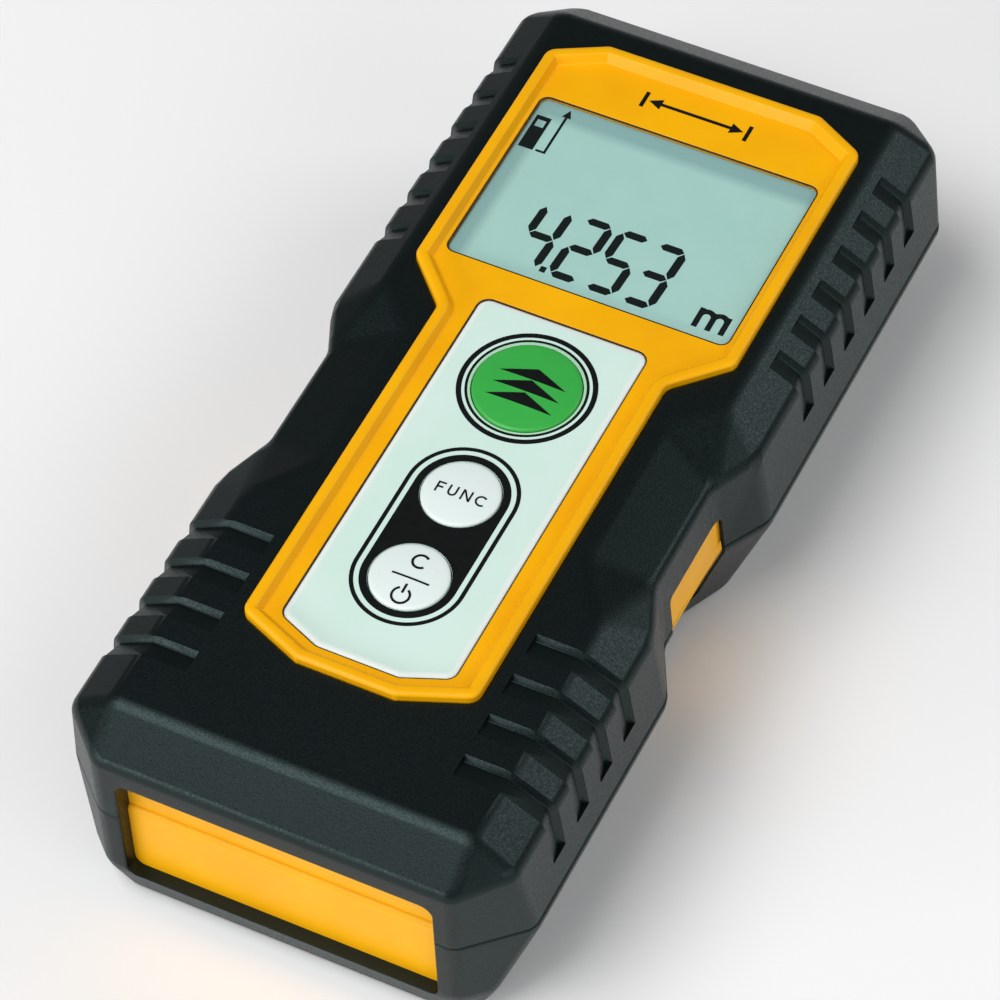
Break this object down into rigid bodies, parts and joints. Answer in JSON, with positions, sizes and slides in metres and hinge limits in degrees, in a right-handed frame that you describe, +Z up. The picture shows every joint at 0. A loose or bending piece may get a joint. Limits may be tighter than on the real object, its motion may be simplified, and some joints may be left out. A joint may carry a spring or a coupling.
{
  "type": "laser distance meter",
  "caption": "Handheld laser distance meter with a faceted soft grip, raised bezel, flush display window, three keys and a battery door in the base.",
  "frame": {"origin": "centre of the base, on the surface the meter lies on", "axes": "+Y towards the laser end, +Z up out of the display, +X to the right as the display is read"},
  "size_m": [0.051, 0.11, 0.027],
  "materials": {
    "soft_black": "fine matte grain",
    "yellow_plastic": "satin",
    "clear_window": "polished",
    "lcd_glass": "polished",
    "pale_reflector": "matte",
    "white_plastic": "matte",
    "keypad_film": "fine satin",
    "green_key": "satin",
    "white_key": "satin",
    "steel": "plated",
    "board_laminate": "solder mask",
    "chip_resin": "moulded",
    "can_metal": "drawn",
    "black_plastic": "fine texture",
    "cell_jacket": "printed film",
    "wire_jacket": "smooth",
    "optic_glass": "coated",
    "filter_glass": "coated",
    "brass": "turned",
    "flex_film": "polyimide film",
    "seal_rubber": "matte"
  },
  "bodies": {
    "root": {"battery_left": "cell_jacket", "battery_right": "cell_jacket", "battery_wires": "wire_jacket", "board_connector": "white_plastic", "board_screws": "steel", "buzzer": "black_plastic", "capacitors": "can_metal", "carrier_screws": "steel", "collimator_lens": "optic_glass", "contact_bridge": "steel", "contact_plate": "steel", "contact_spring": "steel", "crystal": "can_metal", "display_window": "clear_window", "driver_chips": "chip_resin", "flex_cable": "flex_film", "front_overmould": "soft_black", "front_shell": "yellow_plastic", "housing_screws": "steel", "housing_seal": "seal_rubber", "key_domes": "steel", "keypad_panel": "keypad_film", "laser_barrel": "brass", "laser_diode": "brass", "laser_window": "optic_glass", "lcd_connector": "soft_black", "lcd_glass": "lcd_glass", "lcd_holder": "white_plastic", "lcd_reflector": "pale_reflector", "main_board": "board_laminate", "optics_carrier": "black_plastic", "optics_panel": "black_plastic", "processor_chip": "chip_resin", "rear_overmould": "soft_black", "rear_shell": "yellow_plastic", "receiver_board": "board_laminate", "receiver_filter": "filter_glass", "receiver_lens": "optic_glass", "receiver_sensor": "can_metal"},
    "measure_key": {"measure_button": "green_key"},
    "function_key": {"function_button": "white_key"},
    "clear_key": {"clear_button": "white_key"},
    "door": {"battery_door": "yellow_plastic"}
  },
  "joints": [
    {"name": "measure_press", "type": "slide", "parent": "root", "child": "measure_key", "axis": [0, 0, -1], "range_m": [0, 0.0004], "stiffness_N_per_m": 2000, "springref_m": -0.0002},
    {"name": "function_press", "type": "slide", "parent": "root", "child": "function_key", "axis": [0, 0, -1], "range_m": [0, 0.0004], "stiffness_N_per_m": 2000, "springref_m": -0.0002},
    {"name": "clear_press", "type": "slide", "parent": "root", "child": "clear_key", "axis": [0, 0, -1], "range_m": [0, 0.0004], "stiffness_N_per_m": 2000, "springref_m": -0.0002},
    {"name": "door_hinge", "type": "hinge", "parent": "root", "child": "door", "pos_m": [0, -0.0029, 0.00165], "axis": [1, 0, 0], "range_deg": [0, 75]}
  ]
}
